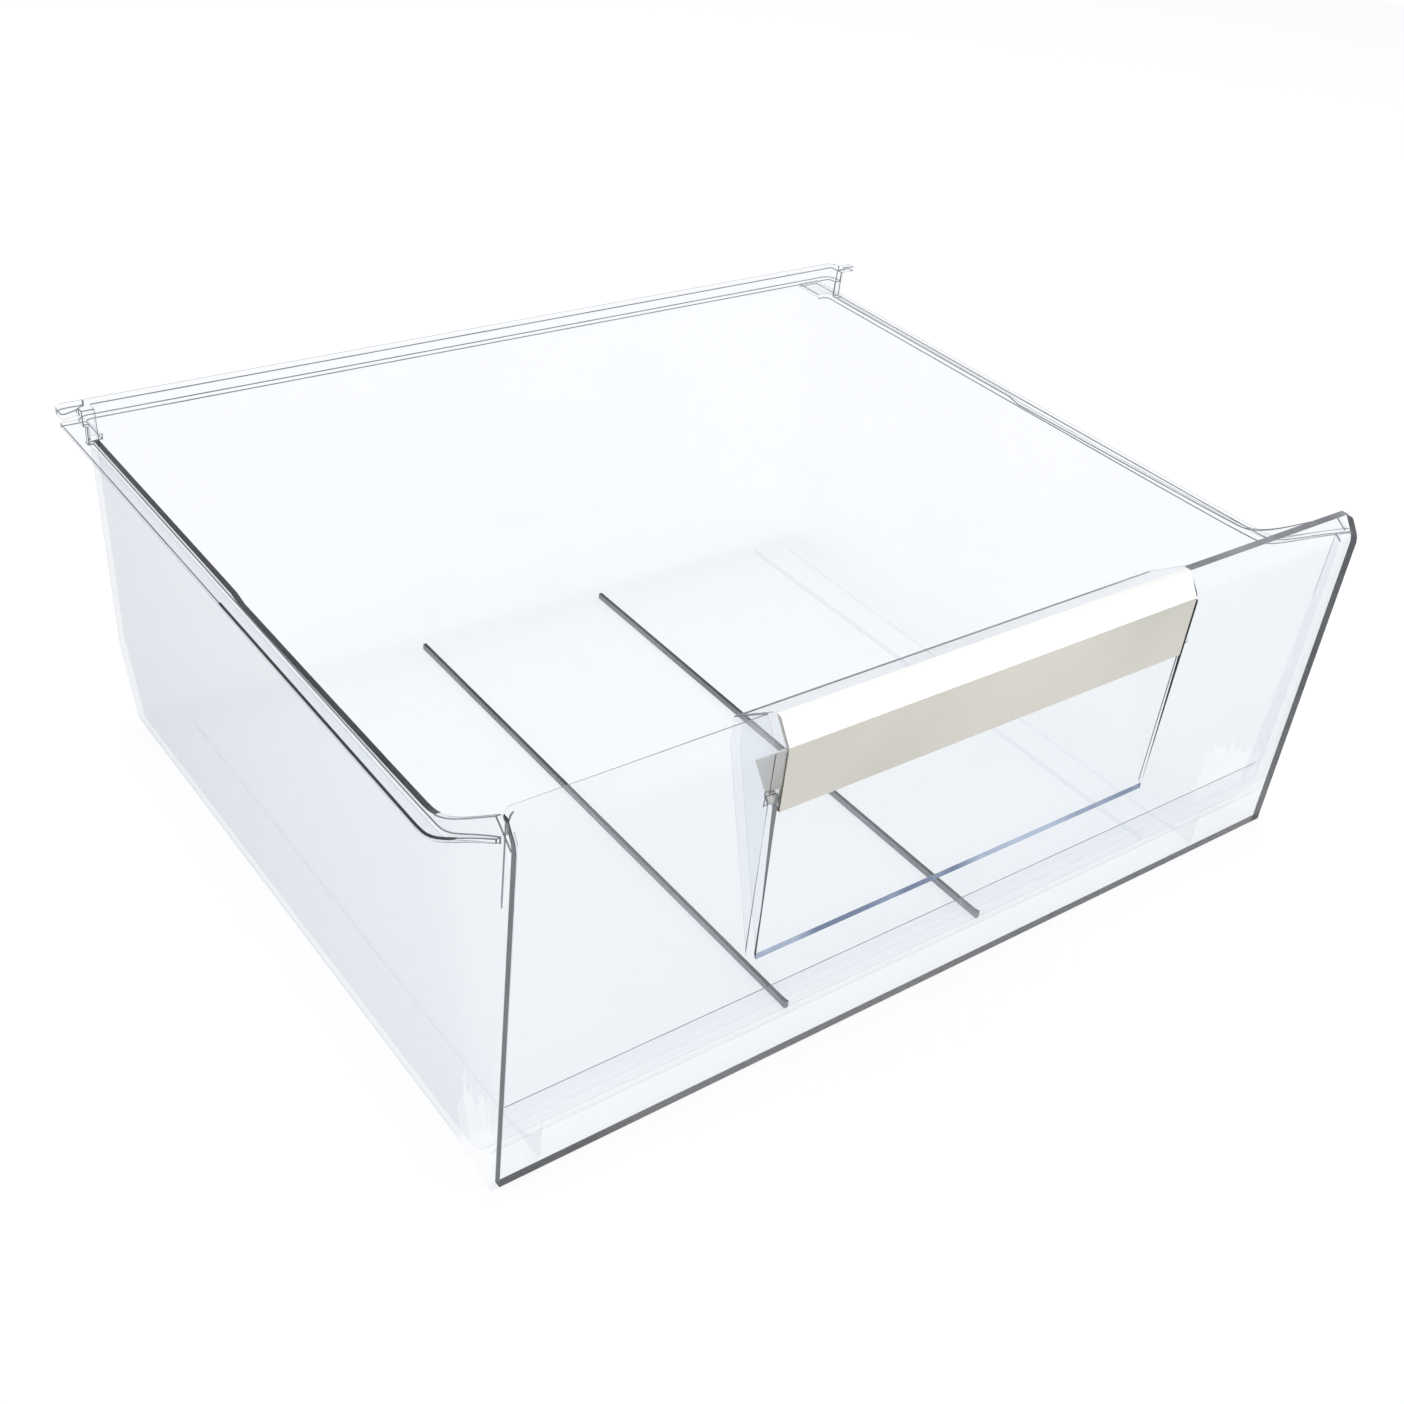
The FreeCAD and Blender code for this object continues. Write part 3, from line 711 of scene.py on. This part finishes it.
@dataclass
class Panel(ClearMoulding):
    """The front panel: even faces, side and bottom edges with painted shade, a recess lined with
    painted shade.
    """

    sharp_angle: float = math.radians(7.8)
    front: float = -0.1819
    sill_level: float = 0.0612
    recess_reach: float = 0.15
    left_cheek_outer: float = -0.1022
    left_cheek: float = -0.09975
    right_cheek: float = 0.1192
    cheek_reach: float = 0.0004
    back: float = -0.1789
    wedge_top: float = 0.1500
    shade_foot: Vector = field(default_factory=lambda: Vector((0.0, -0.1822, 0.0610)))
    shade_slope: float = 0.055
    shade_top: float = 0.1340
    sill_width: float = 0.0024
    cheek_width: float = 0.0011
    wedge_width: float = 0.0007
    wing_start: float = 0.1250
    wing_level: float = 0.1690
    least_angle: float = math.radians(12.0)

    def look_of(self, face: bmesh.types.BMFace, tree: BVHTree) -> Look:
        """Look of one face.

        Args:
            face: The face.
            tree: The piece's faces; not used here.

        Returns:
            Painted shade for the panel's sides and bottom, and a painted shade line's for the
            right wing's top.
        """
        centre = face.calc_center_median()
        # Painted shade: the right wing's top gets the line material, the left cheek's front wedge
        # and the panel's sides and bottom the dark edge material.
        wing = centre.z > self.wing_level and centre.x > self.wing_start
        if wing and face.normal.z > self.along:
            return Look.LINE
        if self.on_left_cheek(face) and centre.z < self.shade_top:
            ahead = (centre - self.shade_foot).dot(self.shade_side()) < 0.0
            return Look.EDGE if ahead else Look.WALL
        outer = abs(face.normal.x) > self.along and abs(centre.x) > self.recess_reach
        return Look.EDGE if outer or face.normal.z < -self.along else Look.WALL

    def shade_side(self) -> Vector:
        """Direction to the rear from the slanted edge of the left cheek's wedge of painted shade.
        """
        return Vector((0.0, 1.0, -self.shade_slope)).normalized()

    def on_left_cheek(self, face: bmesh.types.BMFace) -> bool:
        """Whether a face is the inner side of the recess's left cheek."""
        off = abs(face.calc_center_median().x - self.left_cheek)
        return face.normal.x > self.along and off < self.cheek_reach

    def sort_faces(self, bm: bmesh.types.BMesh) -> None:
        """Cut the wedge of painted shade out of the left cheek, then sort the faces.

        Args:
            bm: The panel.
        """
        bm.normal_update()
        cuts = ((self.shade_foot, self.shade_side()),
                (Vector((0.0, 0.0, self.shade_top)), Vector((0.0, 0.0, 1.0))))
        for place, normal in cuts:
            cheek = [face for face in bm.faces if self.on_left_cheek(face)]
            cut_faces(bm, cheek, place, normal)
        super().sort_faces(bm)

    def line_of(self, edge: bmesh.types.BMEdge) -> tuple[Look, float] | None:
        """Painted shade line along a crease of the finger recess or the top edge.

        Args:
            edge: The edge.

        Returns:
            Its look and width, or None.
        """
        if any(face.material_index == Look.EDGE.value for face in edge.link_faces):
            return None
        angle = edge.calc_face_angle(0.0)
        middle = middle_of(edge)
        if middle.z < self.sill_level and angle > self.least_angle:
            return Look.SILL, self.sill_width
        if angle < self.line_angle:
            return None
        cheeks = (self.left_cheek, self.right_cheek)
        if middle.y < self.front and any(abs(middle.x - x) < self.cheek_reach for x in cheeks):
            return Look.EDGE, self.cheek_width
        outer = middle.y < self.back and abs(middle.x - self.left_cheek_outer) < self.cheek_reach
        if outer and middle.z < self.wedge_top:
            return Look.EDGE, self.wedge_width
        if middle.x > self.right_cheek - self.cheek_reach and middle.y > self.back:
            return None
        return Look.LINE, self.line_width

    def lines(self) -> list[tuple[Look, float]]:
        """The sill's painted shade, then the cheeks' painted shade edges, then the other creases'
        painted shade lines.
        """
        return [(Look.SILL, self.sill_width), (Look.EDGE, self.cheek_width),
                (Look.EDGE, self.wedge_width), (Look.LINE, self.line_width)]


@dataclass
class GripStrip(MouldedPiece):
    """The grip strip, whose sloping top band is painted paler than its front as a painted
    highlight.
    """

    # Painted highlight: the top band gets a paler, less metallic satin for the light it catches
    # from above.
    band_painted_highlight: SatinFinish = SatinFinish(
        "painted_highlight_band_satin", light=(0.77, 0.76, 0.75), dark=(0.72, 0.71, 0.70), metal=0.2)
    band_slope: float = 0.3

    def sort_faces(self, bm: bmesh.types.BMesh) -> None:
        """Give the upward-facing top band the second finish, a painted highlight.

        Args:
            bm: The piece before its edges are eased.
        """
        bm.normal_update()
        for face in bm.faces:
            face.material_index = int(face.normal.z > self.band_slope)

    def finishes(self) -> list[bpy.types.Material]:
        """The front's finish, then the band's painted highlight."""
        return [self.finish.build(), self.band_painted_highlight.build()]


# Studio


@dataclass(frozen=True)
class Softbox:
    """A rectangular lamp that points at the drawer."""

    name: str
    place: Vector
    width: float
    height: float
    power: float
    aim: Vector = field(default_factory=lambda: Vector((0.0, 0.0, 0.1)))
    colour: Colour = (1.0, 1.0, 1.0)

    def build(self) -> bpy.types.Object:
        """Make the lamp.

        Returns:
            The lamp's object.
        """
        data = bpy.data.lights.new(self.name, "AREA")
        data.shape = "RECTANGLE"
        data.size = self.width
        data.size_y = self.height
        data.energy = self.power
        data.color = self.colour
        lamp = bpy.data.objects.new(self.name, data)
        lamp.location = self.place
        lamp.rotation_mode = "QUATERNION"
        lamp.rotation_quaternion = (self.aim - self.place).to_track_quat("-Z", "Y")
        bpy.context.scene.collection.objects.link(lamp)
        return lamp


@dataclass
class Studio:
    """Floor, daylight, lamps and camera."""

    floor_reach: float = 2.0
    floor_finish: FloorFinish = FloorFinish()
    floor_drop: float = 0.0002
    sky_colour: Colour = (0.97, 0.98, 1.0)
    sky_level: float = 0.75
    light_bounces: int = 32
    camera_place: Vector = field(default_factory=lambda: Vector((-0.44535, -0.53920, 0.51810)))
    camera_target: Vector = field(default_factory=lambda: Vector((0.029894, 0.019937, 0.0123)))
    camera_roll: float = math.radians(6.967)
    camera_lens: float = 44.987
    lamps: tuple[Softbox, ...] = (
        Softbox("ceiling_softbox", Vector((0.2, 0.3, 2.2)), 2.0, 2.0, 26.0),
        Softbox("front_right_softbox", Vector((1.9, -2.0, 1.0)), 1.6, 1.2, 26.0),
        Softbox("left_softbox", Vector((-2.4, 0.6, 1.5)), 1.4, 1.4, 12.0),
    )

    def build_floor(self) -> bpy.types.Object:
        """Make the floor.

        Returns:
            The floor's object.
        """
        bm = bmesh.new()
        bmesh.ops.create_grid(bm, x_segments=1, y_segments=1, size=self.floor_reach)
        mesh = bpy.data.meshes.new("floor")
        bm.to_mesh(mesh)
        bm.free()
        floor = bpy.data.objects.new("floor", mesh)
        floor.location.z = -self.floor_drop
        bpy.context.scene.collection.objects.link(floor)
        mesh.materials.append(self.floor_finish.build())
        return floor

    def build_world(self) -> None:
        """Make the daylight: white where it is seen, and plain light elsewhere."""
        world = bpy.data.worlds.new("daylight")
        world.use_nodes = True
        bpy.context.scene.world = world
        tree = world.node_tree
        tree.nodes.clear()
        output = tree.nodes.new("ShaderNodeOutputWorld")
        light = tree.nodes.new("ShaderNodeBackground")
        light.inputs["Color"].default_value = (*self.sky_colour, 1.0)
        light.inputs["Strength"].default_value = self.sky_level
        white = tree.nodes.new("ShaderNodeBackground")
        white.inputs["Color"].default_value = (1.0, 1.0, 1.0, 1.0)
        white.inputs["Strength"].default_value = 1.0
        mix = tree.nodes.new("ShaderNodeMixShader")
        tree.links.new(seen_by_rays(tree), mix.inputs["Fac"])
        tree.links.new(light.outputs["Background"], mix.inputs[1])
        tree.links.new(white.outputs["Background"], mix.inputs[2])
        tree.links.new(mix.outputs["Shader"], output.inputs["Surface"])

    def build_camera(self) -> bpy.types.Object:
        """Make the camera at the photograph's viewing angle.

        Returns:
            The camera's object.
        """
        data = bpy.data.cameras.new("camera")
        data.lens = self.camera_lens
        camera = bpy.data.objects.new("camera", data)
        camera.location = self.camera_place
        camera.rotation_mode = "QUATERNION"
        level = (self.camera_target - self.camera_place).to_track_quat("-Z", "Y")
        turn = Quaternion((0.0, 0.0, 1.0), self.camera_roll)
        camera.rotation_quaternion = level @ turn
        bpy.context.scene.collection.objects.link(camera)
        bpy.context.scene.camera = camera
        return camera

    def build(self) -> None:
        """Make the whole studio."""
        self.build_camera()
        self.build_floor()
        self.build_world()
        for lamp in self.lamps:
            lamp.build()
        scene = bpy.context.scene
        scene.view_settings.view_transform = "Standard"
        scene.cycles.max_bounces = self.light_bounces
        scene.cycles.transmission_bounces = self.light_bounces
        scene.cycles.transparent_max_bounces = self.light_bounces


def main() -> None:
    """Build every piece round the frame, and then the studio."""
    logging.basicConfig(level=logging.INFO, format="%(name)s: %(message)s")
    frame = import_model()
    pieces = (
        Tub("tub_clear", "drawer_tub", Slot.CLEAR_TUB,
            WallFinish("clear_tub_plastic"), edge_radius=0.0),
        Panel("panel_clear", "front_panel", Slot.CLEAR_PANEL,
              WallFinish("clear_panel_plastic"), edge_radius=0.0),
        GripStrip("grip_satin", "handle_strip", Slot.GRIP, SatinFinish("warm_silver_satin")),
    )
    for piece in pieces:
        piece.build(frame)
    Studio().build()


if __name__ == "__main__":
    main()
